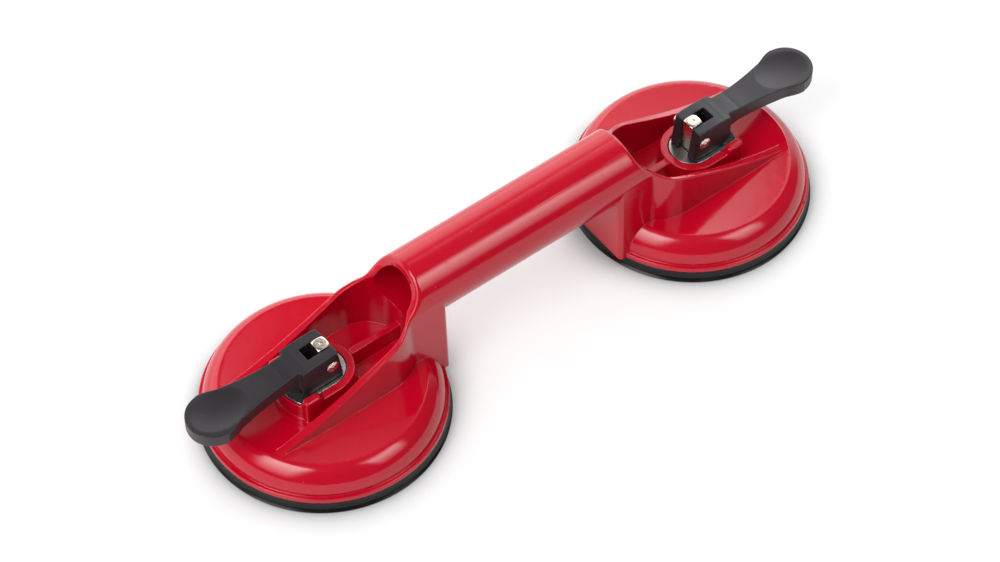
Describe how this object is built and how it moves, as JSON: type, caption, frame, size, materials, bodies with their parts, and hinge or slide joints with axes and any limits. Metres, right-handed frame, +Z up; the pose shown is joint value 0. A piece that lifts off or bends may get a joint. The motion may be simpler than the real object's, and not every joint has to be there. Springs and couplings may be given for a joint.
{
  "type": "vacuum suction cup lifter",
  "caption": "Vacuum lifter: moulded body with a tubular grip between round suction cups, each clamped by a folding cam lever.",
  "frame": {"origin": "on the surface that the pads stand on, under the middle of the grip", "axes": "+X along the grip towards the right cup, +Y across it, +Z up, away from the surface"},
  "size_m": [0.3666, 0.12, 0.071],
  "materials": {
    "red_plastic": "glossy injection-moulded plastic",
    "black_rubber": "smooth moulded rubber, slight gloss",
    "black_plastic": "satin moulded plastic",
    "zinc_steel": "zinc-plated steel",
    "nickel_steel": "nickel-plated steel"
  },
  "bodies": {
    "root": {"body_housing": "red_plastic", "rubber_pad_left": "black_rubber", "rubber_pad_right": "black_rubber", "wear_washer_left": "zinc_steel", "wear_washer_right": "zinc_steel"},
    "stud_left": {"square_stud_left": "nickel_steel", "backing_plate_left": "zinc_steel", "hinge_pin_left": "nickel_steel"},
    "lever_arm_left": {"lever_left": "black_plastic"},
    "stud_right": {"square_stud_right": "nickel_steel", "backing_plate_right": "zinc_steel", "hinge_pin_right": "nickel_steel"},
    "lever_arm_right": {"lever_right": "black_plastic"}
  },
  "joints": [
    {"name": "stud_slide_left", "type": "slide", "parent": "root", "child": "stud_left", "axis": [0, 0, -1], "range_m": [0, 0.0046], "deforming": ["rubber_pad_left"]},
    {"name": "lever_hinge_left", "type": "hinge", "parent": "stud_left", "child": "lever_arm_left", "pos_m": [-0.11, 0, 0.042], "axis": [0, 1, 0], "range_deg": [0, 90]},
    {"name": "stud_slide_right", "type": "slide", "parent": "root", "child": "stud_right", "axis": [0, 0, -1], "range_m": [0, 0.0046], "deforming": ["rubber_pad_right"]},
    {"name": "lever_hinge_right", "type": "hinge", "parent": "stud_right", "child": "lever_arm_right", "pos_m": [0.11, 0, 0.042], "axis": [0, -1, 0], "range_deg": [0, 90]}
  ],
  "couplings": [
    {"joint": "lever_hinge_left", "follows": "stud_slide_left", "rad_per_m": 341.4},
    {"joint": "lever_hinge_right", "follows": "stud_slide_right", "rad_per_m": 341.4}
  ]
}
